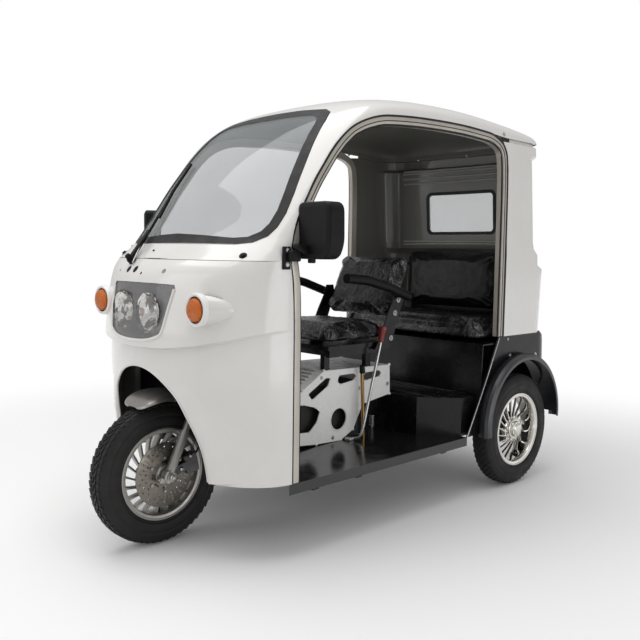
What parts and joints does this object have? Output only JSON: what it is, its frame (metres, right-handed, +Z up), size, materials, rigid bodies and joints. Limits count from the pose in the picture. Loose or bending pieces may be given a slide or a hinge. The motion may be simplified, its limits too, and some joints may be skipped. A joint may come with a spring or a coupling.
{
  "type": "auto rickshaw",
  "caption": "Small closed-cab passenger three-wheeler with open sides, a steered front wheel, a driver's seat over the engine and a rear bench.",
  "frame": {"origin": "ground plane under the middle of the bounding box", "axes": "+X towards the vehicle's left, +Y towards its rear, +Z up"},
  "size_m": [1.2062, 2.152, 1.6489],
  "materials": {
    "white_paint": "gloss",
    "satin_black": "satin",
    "black_plastic": "satin",
    "white_plastic": "satin",
    "door_channel": "satin",
    "black_rubber": "matte",
    "black_vinyl": "satin",
    "tinted_glass": "gloss",
    "clear_lens": "gloss",
    "amber_lens": "gloss",
    "red_lens": "gloss",
    "lamp_chrome": "polished",
    "chrome": "polished",
    "silver_paint": "satin",
    "cast_aluminium": "matte",
    "cast_iron": "matte",
    "steel": "brushed",
    "tyre": "matte"
  },
  "bodies": {
    "chassis": {"front_fairing": "white_paint", "headlamp_lens": "clear_lens", "headlamp_housing": "lamp_chrome", "front_turn_signals": "amber_lens", "upper_shell": "white_paint", "windscreen_seal": "black_rubber", "windscreen_glass": "tinted_glass", "rear_shell": "white_paint", "rear_window_seal": "black_rubber", "rear_window_glass": "tinted_glass", "lower_body": "satin_black", "rear_fenders": "black_plastic", "door_frames": "door_channel", "floor_deck": "satin_black", "leg_shield": "black_plastic", "frame": "satin_black", "rear_axle": "cast_iron", "leaf_springs": "satin_black", "drive_shaft": "steel", "rear_step": "black_plastic", "bench_base": "satin_black", "bench_cushion": "black_vinyl", "bench_backrest": "black_vinyl", "seat_cushion": "black_vinyl", "seat_backrest": "black_vinyl", "seat_base": "satin_black", "armrests": "black_plastic", "engine_cover": "white_plastic", "engine_block": "cast_iron", "exhaust": "steel", "levers": "steel", "mirror_left": "black_plastic", "mirror_right": "black_plastic", "wiper": "black_plastic", "tail_lamps": "red_lens"},
    "steering": {"fork": "silver_paint", "handlebar": "satin_black", "instrument_pod": "black_plastic", "front_mudguard": "silver_paint", "brake_caliper": "cast_aluminium"},
    "front_wheel": {"front_tyre": "tyre", "front_rim": "silver_paint", "front_disc": "steel"},
    "rear_wheel_left": {"rear_left_tyre": "tyre", "rear_left_rim": "chrome"},
    "rear_wheel_right": {"rear_right_tyre": "tyre", "rear_right_rim": "chrome"}
  },
  "joints": [
    {"name": "steering_turn", "type": "hinge", "parent": "chassis", "child": "steering", "pos_m": [0, -0.7929, 0.235], "axis": [0, 0.4131, 0.9107], "range_deg": [-38, 38]},
    {"name": "front_wheel_spin", "type": "hinge", "parent": "steering", "child": "front_wheel", "pos_m": [0, -0.826, 0.25], "axis": [1, 0, 0], "continuous": true},
    {"name": "rear_left_spin", "type": "hinge", "parent": "chassis", "child": "rear_wheel_left", "pos_m": [0.448, 0.748, 0.25], "axis": [1, 0, 0], "continuous": true},
    {"name": "rear_right_spin", "type": "hinge", "parent": "chassis", "child": "rear_wheel_right", "pos_m": [-0.448, 0.748, 0.25], "axis": [1, 0, 0], "continuous": true}
  ]
}
